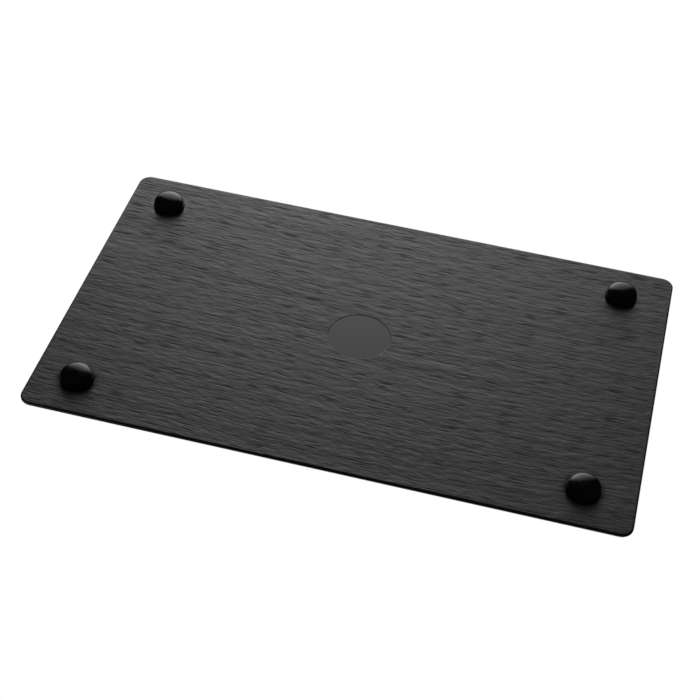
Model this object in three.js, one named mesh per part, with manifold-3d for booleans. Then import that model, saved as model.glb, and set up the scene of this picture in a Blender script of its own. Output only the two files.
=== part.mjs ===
// A flat serving tray moulded from black melamine, standing on four domed stick-on feet.
// Millimetres, +Z up, X along the long side. The origin is on the table, under the middle of the tray.
import * as THREE from "three";
import { mergeVertices } from "three/addons/utils/BufferGeometryUtils.js";
import Module from "manifold-3d";

const wasm = await Module();
wasm.setup();

// Tray plate
const TRAY_LENGTH = 265;
const TRAY_WIDTH = 162;
const TRAY_THICKNESS = 2.5;
const CORNER_RADIUS = 5.5;
const UNDERSIDE_EDGE_RADIUS = 0.7;
const SERVING_EDGE_RADIUS = 1.5;

// How far the recess and the feet sit to the left of the plate's middle
const UNDERSIDE_SHIFT = 1.5;

// Round smooth recess in the underside
const RECESS_DIAMETER = 28.6;
const RECESS_DEPTH = 0.2;

// Domed feet, with a short straight skirt above the dome and a small flat at the tip.
// A fullness of 2 makes the dome's profile an ellipse, and a larger one squarer shoulders.
const FOOT_DIAMETER = 14.4;
const FOOT_SKIRT_HEIGHT = 0.5;
const FOOT_DOME_HEIGHT = 5.9;
const FOOT_DOME_FULLNESS = 2.5;
const FOOT_TIP_DIAMETER = 3;
const FOOT_INSET_X = 21.5;
const FOOT_INSET_Y = 19.2;

// Glue joint: each foot sits in a shallow seat, on a disc of adhesive
const SEAT_DEPTH = 0.5;
const SEAT_CLEARANCE = 0.3;
const ADHESIVE_THICKNESS = 0.3;
const ADHESIVE_MARGIN = 0.6;

// Facets of the round shapes
const CORNER_FACETS = 6;
const EDGE_FACETS = 4;
const DOME_FACETS = 8;
const ROUND_FACETS = 36;

// Heights above the table
const footHeight = FOOT_SKIRT_HEIGHT + FOOT_DOME_HEIGHT;
const seatFloor = footHeight + ADHESIVE_THICKNESS;
const underside = seatFloor - SEAT_DEPTH;
const servingFace = underside + TRAY_THICKNESS;

// How far a cutter, or the unused end of a plate, runs past the face that it leaves open
const OVERCUT = 1;

// Joins a geometry's shared corners and hands it over as a closed solid for cutting.
function solidOf(geometry) {
  const bare = new THREE.BufferGeometry();
  bare.setAttribute("position", geometry.getAttribute("position"));
  bare.setIndex(geometry.index);
  const merged = mergeVertices(bare);
  const mesh = new wasm.Mesh({
    numProp: 3,
    vertProperties: merged.getAttribute("position").array,
    triVerts: new Uint32Array(merged.index.array),
  });
  return new wasm.Manifold(mesh);
}

// Turns a cut solid back into a geometry.
function geometryOf(solid) {
  const { vertProperties, triVerts } = solid.getMesh();
  const geometry = new THREE.BufferGeometry();
  geometry.setAttribute("position", new THREE.BufferAttribute(vertProperties, 3));
  geometry.setIndex(new THREE.BufferAttribute(triVerts, 1));
  geometry.computeVertexNormals();
  return geometry;
}

// The tray's outline from above: a rectangle with rounded corners, centred on the origin.
function trayOutline() {
  const x = TRAY_LENGTH / 2;
  const y = TRAY_WIDTH / 2;
  const inX = x - CORNER_RADIUS;
  const inY = y - CORNER_RADIUS;
  const outline = new THREE.Shape();
  outline.moveTo(-inX, -y);
  outline.lineTo(inX, -y);
  outline.absarc(inX, -inY, CORNER_RADIUS, -Math.PI / 2, 0);
  outline.lineTo(x, inY);
  outline.absarc(inX, inY, CORNER_RADIUS, 0, Math.PI / 2);
  outline.lineTo(-inX, y);
  outline.absarc(-inX, inY, CORNER_RADIUS, Math.PI / 2, Math.PI);
  outline.lineTo(-x, -inY);
  outline.absarc(-inX, -inY, CORNER_RADIUS, Math.PI, 1.5 * Math.PI);
  return outline;
}

// A plate of the tray's outline between two heights, with its upper and lower edges rounded alike.
function roundedPlate(bottom, top, edgeRadius) {
  const plate = new THREE.ExtrudeGeometry(trayOutline(), {
    depth: top - bottom - 2 * edgeRadius,
    curveSegments: CORNER_FACETS,
    bevelThickness: edgeRadius,
    bevelSize: edgeRadius,
    bevelOffset: -edgeRadius,
    bevelSegments: EDGE_FACETS,
  });
  plate.translate(0, 0, bottom + edgeRadius);
  return solidOf(plate);
}

// An upright disc between two heights, centred on x, y.
function uprightDisc(diameter, bottom, top, x = 0, y = 0) {
  const disc = new THREE.CylinderGeometry(diameter / 2, diameter / 2, top - bottom, ROUND_FACETS);
  disc.rotateX(Math.PI / 2);
  disc.translate(x, y, (bottom + top) / 2);
  return disc;
}

// Name and middle of each foot, seen from above with the front edge towards -Y.
function footPlaces() {
  const x = TRAY_LENGTH / 2 - FOOT_INSET_X;
  const y = TRAY_WIDTH / 2 - FOOT_INSET_Y;
  return [
    { corner: "front_left", x: -x - UNDERSIDE_SHIFT, y: -y },
    { corner: "front_right", x: x - UNDERSIDE_SHIFT, y: -y },
    { corner: "rear_left", x: -x - UNDERSIDE_SHIFT, y },
    { corner: "rear_right", x: x - UNDERSIDE_SHIFT, y },
  ];
}

// The plate has a tighter edge below than above, so it is what two plates of the same outline share:
// one gives the lower edge and runs on upwards, the other gives the upper edge and runs on downwards.
function trayBodyGeometry() {
  const unusedTop = servingFace + UNDERSIDE_EDGE_RADIUS + OVERCUT;
  const unusedBottom = underside - SERVING_EDGE_RADIUS - OVERCUT;
  const lowerEdge = roundedPlate(underside, unusedTop, UNDERSIDE_EDGE_RADIUS);
  const upperEdge = roundedPlate(unusedBottom, servingFace, SERVING_EDGE_RADIUS);
  let body = lowerEdge.intersect(upperEdge);
  const recess = uprightDisc(RECESS_DIAMETER, underside - OVERCUT, underside + RECESS_DEPTH, -UNDERSIDE_SHIFT);
  body = body.subtract(solidOf(recess));
  const seatDiameter = FOOT_DIAMETER + 2 * SEAT_CLEARANCE;
  for (const { x, y } of footPlaces()) {
    const seat = uprightDisc(seatDiameter, underside - OVERCUT, seatFloor, x, y);
    body = body.subtract(solidOf(seat));
  }
  return geometryOf(body);
}

// A foot turned about Z: tip flat on the table, quarter-superellipse dome, straight skirt, flat back.
function footGeometry() {
  const radius = FOOT_DIAMETER / 2;
  const tip = FOOT_TIP_DIAMETER / 2;
  const power = 2 / FOOT_DOME_FULLNESS;
  const profile = [new THREE.Vector2(0, 0), new THREE.Vector2(tip, 0)];
  for (let facet = 1; facet < DOME_FACETS; facet++) {
    const turn = (facet / DOME_FACETS) * (Math.PI / 2);
    const out = tip + (radius - tip) * Math.sin(turn) ** power;
    const rise = FOOT_DOME_HEIGHT * (1 - Math.cos(turn) ** power);
    profile.push(new THREE.Vector2(out, rise));
  }
  profile.push(new THREE.Vector2(radius, FOOT_DOME_HEIGHT));
  profile.push(new THREE.Vector2(radius, footHeight));
  profile.push(new THREE.Vector2(0, footHeight));
  const foot = new THREE.LatheGeometry(profile, ROUND_FACETS);
  foot.rotateX(Math.PI / 2);
  return foot;
}

// The thin adhesive disc between a foot's back and the floor of its seat.
function adhesiveGeometry() {
  return uprightDisc(FOOT_DIAMETER - 2 * ADHESIVE_MARGIN, footHeight, seatFloor);
}

function namedMesh(name, geometry, material) {
  const mesh = new THREE.Mesh(geometry, material);
  mesh.name = name;
  return mesh;
}

function blackMelamine() {
  return new THREE.MeshStandardMaterial({ color: 0x1c1c1d, roughness: 0.5, metalness: 0 });
}

function blackRubber() {
  return new THREE.MeshStandardMaterial({ color: 0x0b0b0c, roughness: 0.25, metalness: 0 });
}

function paleAdhesive() {
  return new THREE.MeshStandardMaterial({ color: 0xc9c2ae, roughness: 0.6, metalness: 0 });
}

const tray = new THREE.Group();
tray.add(namedMesh("tray_body", trayBodyGeometry(), blackMelamine()));
for (const { corner, x, y } of footPlaces()) {
  const stand = new THREE.Group();
  stand.position.set(x, y, 0);
  stand.add(namedMesh("foot_" + corner, footGeometry(), blackRubber()));
  stand.add(namedMesh("foot_adhesive_" + corner, adhesiveGeometry(), paleAdhesive()));
  tray.add(stand);
}

export default tray;
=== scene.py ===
"""Dresses a flat black melamine serving tray on four domed rubber feet.

Metres, +Z up, X along the tray's long side, and the feet stand on z = 0. The photograph shows the tray
from below, so its camera stands under the floor, which lets the view through from that side only.
"""

import logging
import math
from dataclasses import dataclass, field
from enum import Enum

import bpy
import numpy as np
from mathutils import Matrix, Vector


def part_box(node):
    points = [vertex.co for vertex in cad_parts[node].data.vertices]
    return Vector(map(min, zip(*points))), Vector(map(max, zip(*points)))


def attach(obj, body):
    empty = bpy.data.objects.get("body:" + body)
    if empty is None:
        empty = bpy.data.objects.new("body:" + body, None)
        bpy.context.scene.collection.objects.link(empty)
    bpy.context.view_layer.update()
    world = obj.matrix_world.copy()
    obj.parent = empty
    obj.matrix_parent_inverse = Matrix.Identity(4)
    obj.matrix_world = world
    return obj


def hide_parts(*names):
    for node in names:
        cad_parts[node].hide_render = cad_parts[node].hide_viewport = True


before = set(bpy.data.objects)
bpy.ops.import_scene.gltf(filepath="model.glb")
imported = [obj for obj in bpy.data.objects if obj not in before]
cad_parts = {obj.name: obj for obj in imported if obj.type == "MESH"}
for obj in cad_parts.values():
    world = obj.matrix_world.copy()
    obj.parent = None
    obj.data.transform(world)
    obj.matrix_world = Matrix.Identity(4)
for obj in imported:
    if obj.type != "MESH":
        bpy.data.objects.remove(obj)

LOG = logging.getLogger("tray")
MM = 0.001
BODY = "root"
PHOTO_PIXELS = 700
WELD_DIGITS = 8

Array = np.ndarray
Colour = tuple[float, float, float, float]
Span = tuple[float, float]
Socket = bpy.types.NodeSocket


def srgb(code: str) -> Colour:
    """Turns an sRGB hex colour into linear light.

    Args:
        code: Six hex digits, such as "2b2b2c".

    Returns:
        Red, green, blue and an alpha of 1, as a shader socket takes them.
    """
    parts = [int(code[i : i + 2], 16) / 255 for i in (0, 2, 4)]
    linear = [c / 12.92 if c <= 0.04045 else ((c + 0.055) / 1.055) ** 2.4 for c in parts]
    return (*linear, 1.0)


def add_node(
    tree: bpy.types.NodeTree, kind: str, settings: dict | None = None, links: dict | None = None
) -> bpy.types.Node:
    """Adds a node with its settings and links.

    Args:
        tree: The node tree of a material, world or lamp.
        kind: Blender's name of the node's class.
        settings: Values by input name or number, or by property name.
        links: Output sockets by the name or number of the input that they feed.

    Returns:
        The new node.
    """
    node = tree.nodes.new(kind)
    for key, value in (settings or {}).items():
        if isinstance(key, int) or key in node.inputs:
            node.inputs[key].default_value = value
        else:
            setattr(node, key, value)
    for key, output in (links or {}).items():
        tree.links.new(output, node.inputs[key])
    return node


def new_tree(owner: bpy.types.Material | bpy.types.World | bpy.types.Light) -> bpy.types.NodeTree:
    """Gives a material, world or lamp an empty node tree."""
    owner.use_nodes = True
    owner.node_tree.nodes.clear()
    return owner.node_tree


def noise(tree: bpy.types.NodeTree, place: Socket, size_mm: float, detail: float) -> Socket:
    """A noise that is alike in every direction.

    Args:
        tree: The node tree.
        place: The coordinates, in metres.
        size_mm: The size of its spots.
        detail: How many finer noises are laid over it.

    Returns:
        Its values, most of them round 0.5.
    """
    settings = {"Scale": 1.0 / (size_mm * MM), "Detail": detail}
    return add_node(tree, "ShaderNodeTexNoise", settings, {"Vector": place}).outputs["Fac"]


def remap(tree: bpy.types.NodeTree, value: Socket, span: Span, to: Span = (0.0, 1.0), eased: bool = False) -> Socket:
    """Takes a value from one span to another and keeps it inside that one.

    Args:
        tree: The node tree.
        value: The value.
        span: Where it starts and ends.
        to: What it becomes there.
        eased: True for a smooth step, False for a straight line.

    Returns:
        The new value.
    """
    settings = {"interpolation_type": "SMOOTHSTEP" if eased else "LINEAR", "From Min": span[0], "From Max": span[1]}
    settings |= {"To Min": to[0], "To Max": to[1]}
    return add_node(tree, "ShaderNodeMapRange", settings, {"Value": value}).outputs[0]


def blend(tree: bpy.types.NodeTree, share: Socket, first: str, second: str) -> Socket:
    """Blends two sRGB hex colours by a share from 0 for the first to 1 for the second."""
    ramp = add_node(tree, "ShaderNodeValToRGB", links={"Fac": share})
    for element, code in zip(ramp.color_ramp.elements, (first, second)):
        element.color = srgb(code)
    return ramp.outputs["Color"]


def smooth(low: float, high: float, value: Array) -> Array:
    """Eases from 0 at low to 1 at high along 3t^2 - 2t^3."""
    t = np.clip((value - low) / (high - low), 0.0, 1.0)
    return t * t * (3.0 - 2.0 * t)


def gradient_noise(x: Array, y: Array, seed: int) -> Array:
    """Smooth random waves about one unit wide.

    Each corner of a unit lattice has a random direction. A point takes the dot product of its offset from
    each corner of its cell with that corner's direction, blended by 6t^5 - 15t^4 + 10t^3.

    Args:
        x: First coordinate of each point.
        y: Second coordinate of each point.
        seed: Picks the lattice of directions.

    Returns:
        A value from about -0.7 to 0.7 for each point.
    """
    side = 256
    turn = np.random.default_rng(seed).uniform(0.0, 2.0 * np.pi, (side, side))
    column, row = np.floor(x).astype(int), np.floor(y).astype(int)
    u, v = x - column, y - row

    def corner(right: int, up: int) -> Array:
        """Dot product with the direction at one corner of the cell."""
        angle = turn[(column + right) % side, (row + up) % side]
        return np.cos(angle) * (u - right) + np.sin(angle) * (v - up)

    fu = u**3 * (u * (6.0 * u - 15.0) + 10.0)
    fv = v**3 * (v * (6.0 * v - 15.0) + 10.0)
    near = corner(0, 0) + fu * (corner(1, 0) - corner(0, 0))
    far = corner(0, 1) + fu * (corner(1, 1) - corner(0, 1))
    return near + fv * (far - near)


class Side(Enum):
    """The two broad faces of the tray, by the way that they face along Z."""

    UNDERSIDE = -1
    SERVING = 1

    @property
    def first_seed(self) -> int:
        """The first of this face's seeds, which keep its pattern apart from the other's."""
        return 10 if self is Side.UNDERSIDE else 30


class Corner(Enum):
    """The four feet, by the signs of their places along X and Y."""

    FRONT_LEFT = (-1, -1)
    FRONT_RIGHT = (1, -1)
    REAR_LEFT = (-1, 1)
    REAR_RIGHT = (1, 1)

    @property
    def node(self) -> str:
        """The end of this foot's node names."""
        return self.name.lower()


@dataclass
class Surface:
    """Patches of points that are welded into one closed mesh."""

    points: list[Array] = field(default_factory=list)
    quads: list[Array] = field(default_factory=list)
    grains: list[Array] = field(default_factory=list)

    def add(self, patch: Array, grain: Array | None = None, keep: Array | None = None, closed: bool = False) -> None:
        """Adds a grid of points and the quads between neighbouring rows and columns.

        Args:
            patch: Points, rows by columns by 3. Faces look along row direction crossed with column direction.
            grain: For each point its place along and across the grain and its share of the relief, which the
                mesh carries as its grain attribute.
            keep: Which cells become quads, rows - 1 by columns - 1. All of them if left out.
            closed: True if the last column joins the first.
        """
        rows, columns = patch.shape[:2]
        start = sum(len(p) for p in self.points)
        index = start + np.arange(rows * columns).reshape(rows, columns)
        if closed:
            index = np.hstack([index, index[:, :1]])
        cells = np.stack([index[:-1, :-1], index[1:, :-1], index[1:, 1:], index[:-1, 1:]], axis=-1)
        self.quads.append(cells[keep] if keep is not None else cells.reshape(-1, 4))
        self.points.append(patch.reshape(-1, 3))
        self.grains.append(np.zeros((rows * columns, 3)) if grain is None else grain.reshape(-1, 3))

    def piece(self, name: str) -> bpy.types.Object:
        """Welds the patches where their points meet and makes the mesh object.

        A quad whose side shrinks to one point, as at a pole, becomes a triangle.

        Args:
            name: The piece's name.

        Returns:
            The object, at the origin, shaded smooth, with the grain attribute on its points.
        """
        every = np.concatenate(self.points)
        quads = np.concatenate(self.quads)
        used, quads = np.unique(quads, return_inverse=True)
        every, carried = every[used], np.concatenate(self.grains)[used]
        _, first, inverse = np.unique(every.round(WELD_DIGITS), axis=0, return_index=True, return_inverse=True)
        quads = inverse.ravel()[quads.reshape(-1, 4)]
        same = quads == np.roll(quads, -1, axis=1)
        whole, pinched = quads[~same.any(axis=1)], same.sum(axis=1) == 1
        triangles = quads[pinched][~same[pinched]].reshape(-1, 3)
        mesh = bpy.data.meshes.new(name)
        mesh.from_pydata(every[first].tolist(), [], whole.tolist() + triangles.tolist())
        grain = mesh.attributes.new("grain", "FLOAT_VECTOR", "POINT")
        grain.data.foreach_set("vector", carried[first].astype(np.float32).ravel())
        mesh.shade_smooth()
        piece = bpy.data.objects.new(name, mesh)
        bpy.context.scene.collection.objects.link(piece)
        return piece


@dataclass(frozen=True)
class GrainRelief:
    """Wavy grain along X, moulded into both broad faces.

    Each noise has a length, a width and a depth in millimetres.
    """

    broad: tuple[float, float, float] = (90.0, 8.0, 0.14)
    streak: tuple[float, float, float] = (45.0, 3.3, 0.085)
    drift: tuple[float, float, float] = (90.0, 60.0, 1.2)
    ripple: tuple[float, float, float] = (24.0, 15.0, 0.2)
    lean: float = 0.045
    bend_per_m: float = 0.38
    # Where the tray's middle lies on each noise's lattice.
    lattice_start: tuple[float, float] = (91.0, 57.0)

    def layer(self, number: int, shape: tuple[float, float, float], x: Array, line: Array, side: Side) -> Array:
        """One noise in metres, of the given length, width and depth, from a pattern of its own for each face."""
        length, width, depth = shape
        u, v = x / MM / length + self.lattice_start[0], line / MM / width + self.lattice_start[1]
        return depth * MM * gradient_noise(u, v, side.first_seed + number)

    def line(self, x: Array, y: Array, side: Side) -> Array:
        """Place across the grain: y less a share of x that eases off to the right, plus two slow noises.

        So the grain's lines lean, straighten out along the right half, and wander.

        Args:
            x: Places along the tray, in metres.
            y: Places across the tray, in metres.
            side: The face, which picks its own pattern.

        Returns:
            The places across the grain, in metres.
        """
        wander = self.layer(0, self.drift, x, y, side) + self.layer(1, self.ripple, x, y, side)
        return y - self.lean * x + self.bend_per_m * np.maximum(x, 0.0) ** 2 + wander

    def height(self, x: Array, line: Array, side: Side) -> Array:
        """Height of the relief above the plain face: the sum of two noises, each much longer than wide.

        Args:
            x: Places along the tray, in metres.
            line: Places across the grain, in metres.
            side: The face.

        Returns:
            Heights in metres, outwards from the face.
        """
        return self.layer(2, self.broad, x, line, side) + self.layer(3, self.streak, x, line, side)


@dataclass(frozen=True)
class MouldedMelamine:
    """Compression-moulded melamine resin, filled and dyed black.

    The grained faces are satin and slightly hazy, with fine dark dashes along the grain. Where the mould was
    polished, as at the rim, in the recess and round each seat, the skin is glossier. There it is also painted a deeper
    black: on the rounded edge this is painted shade, and round each seat painted contact shadow of the foot.
    """

    name: str = "moulded_black_melamine"
    polished_colour_and_painted_shade: str = "050505"
    grained_colour: str = "252526"
    ior: float = 1.5
    polished_roughness: float = 0.2
    grained_roughness: Span = (0.38, 0.48)
    shine: float = 0.5
    dash_shine: float = 0.16
    dash_mm: tuple[float, float] = (11.0, 0.95)
    dash_span: Span = (0.55, 0.74)
    dash_depth_mm: float = 0.05
    fibre_mm: tuple[float, float] = (5.5, 1.9)
    fibre_span: Span = (0.3, 0.7)
    fibre_depth_mm: float = 0.16
    mottle_mm: float = 30.0
    mottle_share: float = 0.5
    # The real skin's pebble is finer than this. It is drawn about one pixel coarse, so that it shows.
    pebble_mm: float = 0.45
    pebble_depth_mm: float = 0.004
    pebble_strength: float = 0.3

    def material(self) -> bpy.types.Material:
        """Builds the node material.

        Returns:
            The material, which reads Object coordinates and the grain attribute.
        """
        made = bpy.data.materials.new(self.name)
        tree = new_tree(made)
        place = add_node(tree, "ShaderNodeTexCoord").outputs["Object"]
        grain = add_node(tree, "ShaderNodeAttribute", {"attribute_name": "grain"}).outputs["Vector"]
        share = add_node(tree, "ShaderNodeSeparateXYZ", links={"Vector": grain}).outputs["Z"]

        def along_grain(size_mm: tuple[float, float], detail: float) -> Socket:
            """A noise of the given length and width along the grain."""
            scale = (1.0 / (size_mm[0] * MM), 1.0 / (size_mm[1] * MM), 0.0)
            stretched = add_node(tree, "ShaderNodeMapping", {"Scale": scale}, {"Vector": grain}).outputs[0]
            settings = {"noise_dimensions": "2D", "Scale": 1.0, "Detail": detail, "Roughness": 0.5}
            return add_node(tree, "ShaderNodeTexNoise", settings, {"Vector": stretched}).outputs["Fac"]

        fibre = along_grain(self.fibre_mm, detail=1.0)
        dash = remap(tree, along_grain(self.dash_mm, detail=0.5), self.dash_span, eased=True)
        cut = add_node(tree, "ShaderNodeMath", {"operation": "MULTIPLY", 1: -self.dash_depth_mm}, {0: dash}).outputs[0]
        depth = add_node(
            tree, "ShaderNodeMath", {"operation": "MULTIPLY_ADD", 1: self.fibre_depth_mm}, {0: fibre, 2: cut}
        ).outputs[0]
        mottle = noise(tree, place, self.mottle_mm, detail=4.0)
        tone = add_node(
            tree, "ShaderNodeMath", {"operation": "MULTIPLY_ADD", 1: self.mottle_share}, {0: mottle, 2: fibre}
        ).outputs[0]
        # Base colour: random tone on the grained faces, darkest where the grain's share falls to 0; on the edge and
        # round the seats that darkening is painted shade.
        tone_with_painted_shade = add_node(tree, "ShaderNodeMath", {"operation": "MULTIPLY"}, {0: tone, 1: share}).outputs[0]
        satin = remap(tree, fibre, self.fibre_span, self.grained_roughness)
        polish = add_node(
            tree, "ShaderNodeMapRange", {"To Min": self.polished_roughness}, {"Value": share, "To Max": satin}
        ).outputs[0]
        inside = add_node(tree, "ShaderNodeMath", {"operation": "MULTIPLY"}, {0: dash, 1: share}).outputs[0]
        relief = add_node(tree, "ShaderNodeBump", {"Distance": MM}, {"Height": depth, "Strength": share}).outputs[0]
        skin = add_node(
            tree,
            "ShaderNodeBump",
            {"Strength": self.pebble_strength, "Distance": self.pebble_depth_mm * MM},
            {"Height": noise(tree, place, self.pebble_mm, detail=2.0), "Normal": relief},
        ).outputs[0]
        shader = add_node(
            tree,
            "ShaderNodeBsdfPrincipled",
            {"IOR": self.ior},
            {
                "Base Color": blend(tree, tone_with_painted_shade, self.polished_colour_and_painted_shade, self.grained_colour),
                "Roughness": polish,
                "Specular IOR Level": remap(tree, inside, (0.0, 1.0), (self.shine, self.dash_shine)),
                "Normal": skin,
            },
        )
        add_node(tree, "ShaderNodeOutputMaterial", links={"Surface": shader.outputs[0]})
        return made


@dataclass(frozen=True)
class FootRubber:
    """Moulded polyurethane rubber, dyed black: smooth and glossy from a polished mould."""

    name: str = "moulded_black_rubber"
    colour: str = "010101"
    dust_colour: str = "020202"
    ior: float = 1.5
    shine: float = 0.35
    roughness: Span = (0.13, 0.23)
    cloud_mm: float = 3.0
    cloud_span: Span = (0.35, 0.65)
    # The real skin is finer than this. It is drawn about one pixel coarse, so that it shows.
    skin_mm: float = 0.6
    skin_depth_mm: float = 0.004
    skin_strength: float = 0.2

    def material(self) -> bpy.types.Material:
        """Builds the node material.

        Returns:
            The material, which reads Object coordinates.
        """
        made = bpy.data.materials.new(self.name)
        tree = new_tree(made)
        place = add_node(tree, "ShaderNodeTexCoord").outputs["Object"]
        cloud = noise(tree, place, self.cloud_mm, detail=3.0)
        bump = add_node(
            tree,
            "ShaderNodeBump",
            {"Strength": self.skin_strength, "Distance": self.skin_depth_mm * MM},
            {"Height": noise(tree, place, self.skin_mm, detail=2.0)},
        ).outputs[0]
        shader = add_node(
            tree,
            "ShaderNodeBsdfPrincipled",
            {"IOR": self.ior, "Specular IOR Level": self.shine},
            {
                "Base Color": blend(tree, cloud, self.colour, self.dust_colour),
                "Roughness": remap(tree, cloud, self.cloud_span, self.roughness),
                "Normal": bump,
            },
        )
        add_node(tree, "ShaderNodeOutputMaterial", links={"Surface": shader.outputs[0]})
        return made


@dataclass(frozen=True)
class AcrylicAdhesive:
    """Pressure-sensitive acrylic adhesive on a pale carrier: dull, slightly cloudy."""

    name: str = "pale_acrylic_adhesive"
    colour: str = "c9c2ae"
    cloud_colour: str = "b5ad97"
    roughness: float = 0.6
    cloud_mm: float = 1.5
    cloud_depth_mm: float = 0.02
    cloud_strength: float = 0.3

    def material(self) -> bpy.types.Material:
        """Builds the node material.

        Returns:
            The material, which reads Object coordinates.
        """
        made = bpy.data.materials.new(self.name)
        tree = new_tree(made)
        place = add_node(tree, "ShaderNodeTexCoord").outputs["Object"]
        cloud = noise(tree, place, self.cloud_mm, detail=3.0)
        bump = add_node(
            tree,
            "ShaderNodeBump",
            {"Strength": self.cloud_strength, "Distance": self.cloud_depth_mm * MM},
            {"Height": cloud},
        ).outputs[0]
        shader = add_node(
            tree,
            "ShaderNodeBsdfPrincipled",
            {"Roughness": self.roughness},
            {"Base Color": blend(tree, cloud, self.colour, self.cloud_colour), "Normal": bump},
        )
        add_node(tree, "ShaderNodeOutputMaterial", links={"Surface": shader.outputs[0]})
        return made


@dataclass(frozen=True)
class StudioFloor:
    """Pale matt laminate: near white round the tray, and lost in a white sweep further out.

    It is open to a view from below.
    """

    name: str = "pale_matt_laminate"
    colour: str = "f4f4f4"
    cloud_colour: str = "f0f0f0"
    roughness: float = 0.7
    cloud_mm: float = 120.0
    sweep_span: Span = (0.22, 0.75)

    def material(self) -> bpy.types.Material:
        """Builds the node material.

        Returns:
            The material: from above the laminate and, far from the tray, the sweep, and nothing from below.
        """
        made = bpy.data.materials.new(self.name)
        tree = new_tree(made)
        place = add_node(tree, "ShaderNodeTexCoord").outputs["Object"]
        cloud = noise(tree, place, self.cloud_mm, detail=2.0)
        laminate = add_node(
            tree,
            "ShaderNodeBsdfPrincipled",
            {"Roughness": self.roughness, "Specular IOR Level": 0.0},
            {"Base Color": blend(tree, cloud, self.colour, self.cloud_colour)},
        )
        away = add_node(tree, "ShaderNodeVectorMath", {"operation": "LENGTH"}, {0: place}).outputs["Value"]
        share = remap(tree, away, self.sweep_span, eased=True)
        sweep = add_node(tree, "ShaderNodeEmission", {"Color": srgb("ffffff"), "Strength": 1.0})
        white = add_node(
            tree, "ShaderNodeMixShader", links={0: share, 1: laminate.outputs[0], 2: sweep.outputs[0]}
        )
        clear = add_node(tree, "ShaderNodeBsdfTransparent")
        below = add_node(tree, "ShaderNodeNewGeometry").outputs["Backfacing"]
        shown = add_node(tree, "ShaderNodeMixShader", links={0: below, 1: white.outputs[0], 2: clear.outputs[0]})
        add_node(tree, "ShaderNodeOutputMaterial", links={"Surface": shown.outputs[0]})
        return made


@dataclass(frozen=True)
class SunkCircle:
    """A round flat-bottomed recess in the underside, or the seat of a foot, with a smooth, glossier ring round its lip
    that is painted darker; round a seat that ring is painted contact shadow of the foot.

    The half patch is half the width of the square of the plate's grid that it takes the place of.
    """

    x: float
    y: float
    radius: float
    depth: float
    lip: float
    # Round the lip a ring this wide is smooth, glossier and painted darker.
    ring: float
    half_patch: float
    lip_points: int = 4
    floor_shares: tuple[float, ...] = (0.99, 0.8, 0.55, 0.3, 0.0)

    def profile(self) -> tuple[Array, Array]:
        """The wall from the lip to the middle of the floor.

        A quarter circle rolls over the lip, a steep wall leans in, a quarter circle runs out on the floor,
        and the floor is flat to the middle.

        Returns:
            Radii, and the share of the full depth at each, both from the lip inwards.
        """
        turn = np.linspace(0.0, np.pi / 2, self.lip_points)
        over = self.radius + self.lip * (1.0 - np.sin(turn))
        out = self.radius - self.lip * (2.0 - np.cos(turn))
        floor = (self.radius - 2.0 * self.lip) * np.array(self.floor_shares)
        roll = self.lip / self.depth
        sunk = np.concatenate([roll * (1.0 - np.cos(turn)), 1.0 - roll * (1.0 - np.sin(turn)), np.ones(len(floor))])
        return np.concatenate([over, out, floor]), sunk


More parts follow.
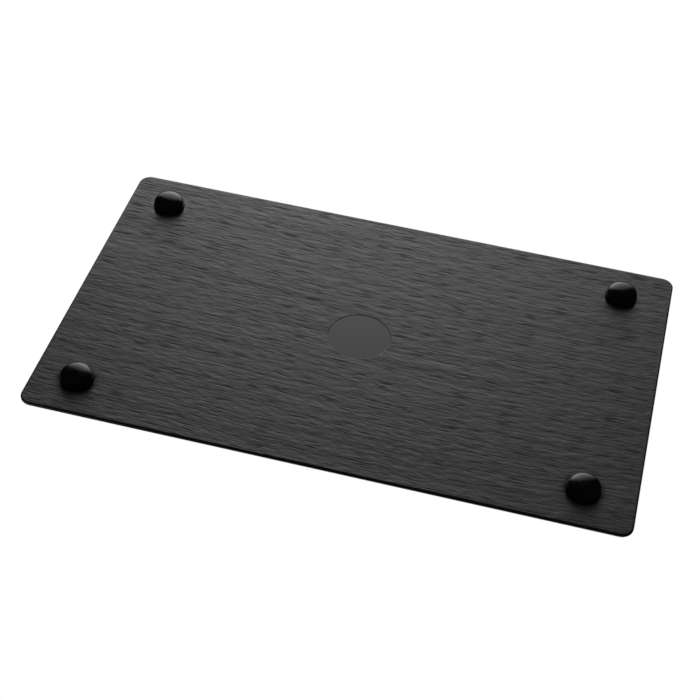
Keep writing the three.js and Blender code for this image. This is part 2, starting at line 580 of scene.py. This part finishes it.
@dataclass
class TrayBody:
    """The moulded plate: two grained faces, a rounded edge, a round recess and the seats of the feet."""

    corner_radius: float = 5.5 * MM
    underside_edge: float = 0.7 * MM
    serving_edge: float = 1.5 * MM
    recess_radius: float = 14.3 * MM
    recess_depth: float = 0.2 * MM
    recess_shift: float = 1.5 * MM
    recess_lip: float = 0.05 * MM
    recess_ring: float = 0.4 * MM
    recess_patch: float = 19.0 * MM
    seat_clearance: float = 0.3 * MM
    seat_depth: float = 0.5 * MM
    seat_lip: float = 0.1 * MM
    # Round each seat a ring this wide is painted darker, as the foot's contact shadow, and is smooth and glossier.
    seat_ring_of_polish_and_painted_shadow: float = 3.2 * MM
    seat_patch: float = 12.0 * MM
    column_step: float = 2.6 * MM
    row_step: float = 0.5 * MM
    corner_steps: int = 7
    edge_steps: int = 4
    patch_steps: int = 8
    # The last line before an outline or a lip lies this share of its step away, which keeps the edge crisp.
    crisp: float = 0.02
    rim_fade: float = 2.0 * MM
    rim_relief: float = 0.4
    relief: GrainRelief = GrainRelief()
    finish: MouldedMelamine = MouldedMelamine()

    def __post_init__(self) -> None:
        """Takes the plate's place and overall size from its CAD node."""
        low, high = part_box("tray_body")
        self.half_length = (high.x - low.x) / 2
        self.half_width = (high.y - low.y) / 2
        self.underside, self.serving_face = low.z, high.z

    def lines(self, half: float, step: float, inset: float) -> Array:
        """Places of the grid's lines across one direction of the plate.

        Between the corners the lines are evenly spaced and the same for every inset. In each corner they
        divide what the inset leaves of the corner radius, with one line close to the outline to keep it crisp.

        Args:
            half: Half the plate's size in that direction.
            step: About how far apart the lines lie.
            inset: How far the outline is drawn in.

        Returns:
            The places, from the low side to the high side.
        """
        straight = half - self.corner_radius
        middle = np.linspace(-straight, straight, round(2 * straight / step) + 1)
        share = np.append(np.linspace(0.0, 1.0, self.corner_steps + 1)[1:-1], [1.0 - self.crisp, 1.0])
        bend = straight + (self.corner_radius - inset) * share
        return np.concatenate([-bend[::-1], middle, bend])

    def outline_grid(self, inset: float) -> tuple[Array, Array]:
        """A grid over the plate whose outer lines lie on its rounded outline.

        In each corner the square of lines is bent to a quarter disc: u becomes u sqrt(1 - v^2 / 2) and v
        becomes v sqrt(1 - u^2 / 2), with u and v as shares of the corner's radius.

        Args:
            inset: How far the outline is drawn in.

        Returns:
            X and Y of the grid's points, rows by columns.
        """
        x, y = np.meshgrid(
            self.lines(self.half_length, self.column_step, inset), self.lines(self.half_width, self.row_step, inset)
        )
        bend = self.corner_radius - inset
        in_x, in_y = self.half_length - self.corner_radius, self.half_width - self.corner_radius
        u, v = np.maximum(np.abs(x) - in_x, 0.0) / bend, np.maximum(np.abs(y) - in_y, 0.0) / bend
        x = np.sign(x) * (np.minimum(np.abs(x), in_x) + bend * u * np.sqrt(1.0 - v * v / 2.0))
        y = np.sign(y) * (np.minimum(np.abs(y), in_y) + bend * v * np.sqrt(1.0 - u * u / 2.0))
        return x, y

    def face(self, x: Array, y: Array, side: Side) -> tuple[Array, Array]:
        """Lays the grain relief on a broad face. It eases off towards the rim, where the falling share also darkens
        the colour: painted shade along the edge.

        Args:
            x: Places along the tray.
            y: Places across the tray.
            side: The face.

        Returns:
            The points, and for each its place along and across the grain and its share of the full relief.
        """
        to_rim = np.minimum(self.half_length - np.abs(x), self.half_width - np.abs(y))
        share = self.rim_relief + (1.0 - self.rim_relief) * smooth(0.0, self.rim_fade, to_rim)
        line = self.relief.line(x, y, side)
        height = self.relief.height(x, line, side) * share
        level = self.underside if side is Side.UNDERSIDE else self.serving_face
        return np.stack([x, y, level + side.value * height], axis=-1), np.stack([x, line, share], axis=-1)

    def sunk_circles(self) -> list[SunkCircle]:
        """The recess near the middle and the seat of each foot, at the places of the CAD nodes."""
        recess = SunkCircle(
            x=-self.recess_shift,
            y=0.0,
            radius=self.recess_radius,
            depth=self.recess_depth,
            lip=self.recess_lip,
            ring=self.recess_ring,
            half_patch=self.recess_patch,
        )
        circles = [recess]
        for corner in Corner:
            low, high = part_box(f"foot_{corner.node}")
            middle = (low + high) / 2
            seat = SunkCircle(
                x=middle.x,
                y=middle.y,
                radius=(high.x - low.x) / 2 + self.seat_clearance,
                depth=self.seat_depth,
                lip=self.seat_lip,
                ring=self.seat_ring_of_polish_and_painted_shadow,
                half_patch=self.seat_patch,
            )
            circles.append(seat)
        return circles

    def add_sunk_circle(self, surface: Surface, circle: SunkCircle, x: Array, y: Array) -> Array:
        """Fits a sunk circle into the underside's grid.

        The rectangle of grid points round the circle is joined to the lip by rings: each ring lies a share of
        the way from the lip, at the same bearing, to the rectangle. Inside the lip the rings follow the
        circle's profile.

        Args:
            surface: The mesh that the rings are added to.
            circle: The recess or seat.
            x: X of the underside's grid.
            y: Y of the underside's grid.

        Returns:
            Which cells of the grid the rings stand in for.
        """
        columns = np.flatnonzero(np.abs(x[x.shape[0] // 2] - circle.x) < circle.half_patch)
        rows = np.flatnonzero(np.abs(y[:, y.shape[1] // 2] - circle.y) < circle.half_patch)
        left, right, low, high = columns[0], columns[-1], rows[0], rows[-1]
        bottom, top = np.arange(left, right), np.arange(right, left, -1)
        up, down = np.arange(low, high), np.arange(high, low, -1)
        row = np.concatenate([np.full(len(bottom), low), up, np.full(len(top), high), down])
        column = np.concatenate([bottom, np.full(len(up), right), top, np.full(len(down), left)])
        rim_x, rim_y = x[row, column] - circle.x, y[row, column] - circle.y
        bearing = np.arctan2(rim_y, rim_x)
        cos, sin = np.cos(bearing), np.sin(bearing)
        radii, sunk = circle.profile()
        share = np.append(np.linspace(1.0, 0.0, self.patch_steps + 1)[:-1], [self.crisp, 0.0])[:, None]
        outer_x = share * rim_x + (1.0 - share) * radii[0] * cos
        outer_y = share * rim_y + (1.0 - share) * radii[0] * sin
        inner_x, inner_y = np.outer(radii[1:], cos), np.outer(radii[1:], sin)
        ring_x, ring_y = np.vstack([outer_x, inner_x]) + circle.x, np.vstack([outer_y, inner_y]) + circle.y
        depth = np.concatenate([np.zeros(len(share)), sunk[1:]])[:, None]
        points, grain = self.face(ring_x, ring_y, Side.UNDERSIDE)
        points[..., 2] += (self.underside - points[..., 2]) * depth + circle.depth * depth
        outside = np.hypot(ring_x - circle.x, ring_y - circle.y) - radii[0]
        # Round the lip the relief's share falls to 0: the ring is smooth, glossier and painted darker, which round a
        # seat is painted contact shadow of the foot.
        grain[..., 2] *= smooth(0.0, circle.ring, outside)
        surface.add(points, grain, closed=True)
        covered = np.zeros((x.shape[0] - 1, x.shape[1] - 1), bool)
        covered[low:high, left:right] = True
        return covered

    def edge_rings(self) -> tuple[Array, Array]:
        """The rounded edge between the two faces' rims, as insets and heights.

        A quarter circle turns up out of the underside, a second and larger one turns in to the serving face.

        Returns:
            How far each ring is drawn in from the outline, and its height.
        """
        turn = np.linspace(0.0, np.pi / 2, self.edge_steps + 1)
        low = (self.underside_edge * (1.0 - np.sin(turn)), self.underside + self.underside_edge * (1.0 - np.cos(turn)))
        high = (self.serving_edge * (1.0 - np.cos(turn)), self.serving_face - self.serving_edge * (1.0 - np.sin(turn)))
        return np.concatenate([low[0], high[0]])[1:-1], np.concatenate([low[1], high[1]])[1:-1]

    @staticmethod
    def rim(grid: Array) -> Array:
        """The outer points of a grid, once round from the low left corner, the low side first."""
        return np.concatenate([grid[0, :-1], grid[:-1, -1], grid[-1, :0:-1], grid[:0:-1, 0]])

    def build(self) -> bpy.types.Object:
        """Builds the plate as one closed mesh.

        Returns:
            The piece that stands for the CAD node tray_body.
        """
        surface = Surface()
        low_x, low_y = self.outline_grid(self.underside_edge)
        covered = np.zeros((low_x.shape[0] - 1, low_x.shape[1] - 1), bool)
        for circle in self.sunk_circles():
            covered |= self.add_sunk_circle(surface, circle, low_x, low_y)
        low, low_grain = self.face(low_x, low_y, Side.UNDERSIDE)
        surface.add(low, low_grain, keep=~covered)
        high, high_grain = self.face(*self.outline_grid(self.serving_edge), Side.SERVING)
        surface.add(high.swapaxes(0, 1), high_grain.swapaxes(0, 1))
        rings, grains = [self.rim(low)], [self.rim(low_grain)]
        for inset, level in zip(*self.edge_rings()):
            side = Side.UNDERSIDE if 2.0 * level < self.underside + self.serving_face else Side.SERVING
            points, grain = self.face(*self.outline_grid(inset), side)
            # The rounded edge has no relief share, so it takes the darkest colour: painted shade along the edge.
            points[..., 2], grain[..., 2] = level, 0.0
            rings.append(self.rim(points))
            grains.append(self.rim(grain))
        rings.append(self.rim(high))
        grains.append(self.rim(high_grain))
        surface.add(np.stack(rings)[::-1], np.stack(grains)[::-1], closed=True)
        return surface.piece("melamine_tray_plate")

    def dress(self, piece: bpy.types.Object) -> None:
        """Gives the plate its finish and ties it to the CAD."""
        piece.data.materials.append(self.finish.material())
        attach(piece, BODY)
        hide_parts("tray_body")


@dataclass
class DomedFoot:
    """A stick-on foot: a flat back, a straight skirt with a fine rounded rim, and a full dome."""

    corner: Corner
    finish: bpy.types.Material
    skirt: float = 0.5 * MM
    back_round: float = 0.25 * MM
    tip_fullness: float = 2.15
    wall_fullness: float = 3.5
    dome_steps: int = 28
    back_steps: int = 4
    turn_steps: int = 96

    def build(self) -> bpy.types.Object:
        """Turns the profile about the foot's own axis.

        From the tip the profile is a quarter superellipse up to the skirt, the straight skirt, a quarter circle
        in to the back, and the flat back to the axis. Radius and height of the dome are the sine and cosine of
        an angle, raised to 2 / tip_fullness and 2 / wall_fullness: a round tip, and steep walls.

        Returns:
            The piece that stands for this foot's CAD node.
        """
        low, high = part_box(f"foot_{self.corner.node}")
        middle, radius = (low + high) / 2, (high.x - low.x) / 2
        dome = high.z - low.z - self.skirt
        turn = np.linspace(0.0, np.pi / 2, self.dome_steps + 1)
        bend = np.linspace(0.0, np.pi / 2, self.back_steps + 1)
        radii = np.concatenate(
            [
                radius * np.sin(turn) ** (2.0 / self.tip_fullness),
                radius - self.back_round * (1.0 - np.cos(bend)),
                [0.0],
            ]
        )
        heights = np.concatenate(
            [
                low.z + dome * (1.0 - np.abs(np.cos(turn)) ** (2.0 / self.wall_fullness)),
                high.z - self.back_round * (1.0 - np.sin(bend)),
                [high.z],
            ]
        )
        around = np.linspace(0.0, 2.0 * np.pi, self.turn_steps, endpoint=False)
        points = np.stack(
            [
                middle.x + np.outer(radii, np.cos(around)),
                middle.y + np.outer(radii, np.sin(around)),
                np.repeat(heights[:, None], self.turn_steps, axis=1),
            ],
            axis=-1,
        )
        surface = Surface()
        surface.add(points[::-1], closed=True)
        return surface.piece(f"rubber_foot_{self.corner.node}")

    def dress(self, piece: bpy.types.Object) -> None:
        """Gives the foot its finish and ties it to the CAD."""
        piece.data.materials.append(self.finish)
        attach(piece, BODY)
        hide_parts(f"foot_{self.corner.node}")


@dataclass
class FootAdhesive:
    """The adhesive disc between a foot and its seat, which keeps its CAD shape."""

    corner: Corner
    finish: bpy.types.Material

    def dress(self) -> bpy.types.Object:
        """Gives the CAD node its finish and returns it."""
        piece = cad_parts[f"foot_adhesive_{self.corner.node}"]
        piece.data.materials.clear()
        piece.data.materials.append(self.finish)
        return piece


@dataclass(frozen=True)
class PhotoCamera:
    """Where the photograph was taken from, as seen by a tray that lies face down with its feet up."""

    azimuth: float = 11.46
    elevation: float = 44.41
    roll: float = 3.875
    distance: float = 716.3 * MM
    target: tuple[float, float] = (-3.4 * MM, -9.7 * MM)
    focal_pixels: float = 1603.4
    sensor: float = 36.0
    clip: Span = (0.01, 20.0)

    def build(self, underside: float) -> bpy.types.Object:
        """Makes the camera and turns its place over with the tray.

        The face-down tray is the standing one turned half round about X, so y and z change sign.

        Args:
            underside: Height of the tray's underside, which the face-down heights count from.

        Returns:
            The camera object.
        """
        a, e, r = (math.radians(v) for v in (self.azimuth, self.elevation, self.roll))
        back = Vector((math.sin(a) * math.cos(e), -math.cos(a) * math.cos(e), math.sin(e)))
        level = Vector((math.cos(a), math.sin(a), 0.0))
        rise = back.cross(level)
        right = math.cos(r) * level + math.sin(r) * rise
        up = math.cos(r) * rise - math.sin(r) * level
        eye = Vector((*self.target, 0.0)) + back * self.distance
        turn_over = Matrix.Diagonal((1.0, -1.0, -1.0))
        axes = turn_over @ Matrix((right, up, back)).transposed()
        data = bpy.data.cameras.new("photo_camera")
        data.sensor_width = self.sensor
        data.lens = self.focal_pixels / PHOTO_PIXELS * self.sensor
        data.clip_start, data.clip_end = self.clip
        camera = bpy.data.objects.new("photo_camera", data)
        place = turn_over @ eye + Vector((0.0, 0.0, underside))
        camera.matrix_world = Matrix.Translation(place) @ axes.to_4x4()
        bpy.context.scene.collection.objects.link(camera)
        bpy.context.scene.camera = camera
        return camera


@dataclass(frozen=True)
class Softbox:
    """A rectangular studio lamp. Its light is the radiance of its face, where 1 is white.

    With a fade, the light is full at the middle of the upper edge only. From there it falls off evenly, and is
    gone at the first distance to either side and at the second one below.
    """

    name: str
    place: tuple[float, float, float]
    aim: tuple[float, float, float]
    size: tuple[float, float]
    light: float
    fade: tuple[float, float] | None = None

    def build(self) -> bpy.types.Object:
        """Makes the lamp. A face of area A and radiance L gives off pi A L watts."""
        data = bpy.data.lights.new(self.name, "AREA")
        data.shape = "RECTANGLE"
        data.size, data.size_y = self.size
        data.energy = math.pi * self.size[0] * self.size[1] * self.light
        if self.fade:
            tree = new_tree(data)
            place = add_node(tree, "ShaderNodeTexCoord").outputs["Object"]
            scale = (1.0 / self.fade[0], 1.0 / self.fade[1], 0.0)
            start = (0.0, -self.size[1] / 2 / self.fade[1], 0.0)
            spread = add_node(tree, "ShaderNodeMapping", {"Location": start, "Scale": scale}, {"Vector": place})
            falling = add_node(
                tree, "ShaderNodeTexGradient", {"gradient_type": "SPHERICAL"}, {"Vector": spread.outputs[0]}
            )
            glow = add_node(tree, "ShaderNodeEmission", links={"Strength": falling.outputs["Fac"]})
            add_node(tree, "ShaderNodeOutputLight", links={"Surface": glow.outputs[0]})
        lamp = bpy.data.objects.new(self.name, data)
        way = Vector(self.aim) - Vector(self.place)
        lamp.matrix_world = Matrix.Translation(self.place) @ way.to_track_quat("-Z", "Y").to_matrix().to_4x4()
        lamp.visible_camera = False
        bpy.context.scene.collection.objects.link(lamp)
        return lamp


@dataclass(frozen=True)
class Studio:
    """Pale floor, white surroundings and soft lamps above and below the tray."""

    floor_size: float = 6.0
    floor_lines: int = 3
    ambient: float = 0.85
    dim: float = 0.006
    wall: tuple[float, float, float] = (-0.645, 0.452, 0.616)
    wall_span: Span = (0.86, 0.97)
    finish: StudioFloor = StudioFloor()
    lamps: tuple[Softbox, ...] = (
        Softbox("overhead_softbox", (0.0, 0.05, 1.2), (0.0, 0.0, 0.0), (0.7, 0.5), 1.5),
        Softbox(
            "low_back_softbox", (-0.16, -0.55, -0.435), (-0.16, 0.0, -0.435), (1.04, 0.84), 3.8, fade=(0.52, 0.81)
        ),
        Softbox("right_softbox", (0.60, -0.60, 0.53), (0.0, 0.0, 0.0), (0.7, 0.4), 1.2),
    )

    def floor(self) -> bpy.types.Object:
        """A flat grid under the feet that only a view from above meets.

        Returns:
            The floor, marked as stage.
        """
        line = np.linspace(-self.floor_size / 2, self.floor_size / 2, self.floor_lines)
        x, y = np.meshgrid(line, line, indexing="ij")
        surface = Surface()
        surface.add(np.stack([x, y, np.zeros_like(x)], axis=-1))
        piece = surface.piece("studio_floor")
        piece.data.materials.append(self.finish.material())
        piece.visible_diffuse = piece.visible_glossy = piece.visible_transmission = False
        piece.visible_shadow = piece.visible_volume_scatter = False
        return piece

    def world(self) -> None:
        """White to the camera and through clear things, and to reflections a white wall high at the rear left.

        How white a reflection's direction is follows a smooth step of its share along the way to the wall. Round
        that the reflections stay dark, as they do in the photograph's black feet. The light that falls on matt
        surfaces from all round is even.
        """
        world = bpy.data.worlds.new("white_studio")
        tree = new_tree(world)
        way = add_node(tree, "ShaderNodeTexCoord").outputs["Generated"]
        share = add_node(tree, "ShaderNodeVectorMath", {"operation": "DOT_PRODUCT", 1: self.wall}, {0: way})
        wall = remap(tree, share.outputs["Value"], self.wall_span, (self.dim, 1.0), eased=True)
        path = add_node(tree, "ShaderNodeLightPath")
        seen = add_node(
            tree,
            "ShaderNodeMath",
            {"operation": "MAXIMUM"},
            {0: path.outputs["Is Camera Ray"], 1: path.outputs["Is Transmission Ray"]},
        )
        even = add_node(tree, "ShaderNodeBackground", {"Color": srgb("ffffff"), "Strength": self.ambient})
        mirrored = add_node(tree, "ShaderNodeBackground", {"Color": srgb("ffffff")}, {"Strength": wall})
        white = add_node(tree, "ShaderNodeBackground", {"Color": srgb("ffffff"), "Strength": 1.0})
        bounced = add_node(
            tree,
            "ShaderNodeMixShader",
            links={0: path.outputs["Is Glossy Ray"], 1: even.outputs[0], 2: mirrored.outputs[0]},
        )
        shown = add_node(
            tree, "ShaderNodeMixShader", links={0: seen.outputs[0], 1: bounced.outputs[0], 2: white.outputs[0]}
        )
        add_node(tree, "ShaderNodeOutputWorld", links={"Surface": shown.outputs[0]})
        bpy.context.scene.world = world

    def build(self) -> None:
        """Sets up the floor, the world and the lamps."""
        self.floor()
        self.world()
        for lamp in self.lamps:
            lamp.build()
        bpy.context.scene.view_settings.view_transform = "Standard"


def main() -> None:
    """Builds and dresses the tray, then the studio and the camera."""
    logging.basicConfig(level=logging.INFO)
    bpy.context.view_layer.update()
    body = TrayBody()
    plate = body.build()
    body.dress(plate)
    LOG.info("%s: %d faces", plate.name, len(plate.data.polygons))
    rubber, adhesive = FootRubber().material(), AcrylicAdhesive().material()
    for corner in Corner:
        foot = DomedFoot(corner, rubber)
        piece = foot.build()
        foot.dress(piece)
        LOG.info("%s: %d faces", piece.name, len(piece.data.polygons))
        LOG.info("%s: dressed", FootAdhesive(corner, adhesive).dress().name)
    PhotoCamera().build(body.underside)
    Studio().build()


if __name__ == "__main__":
    main()
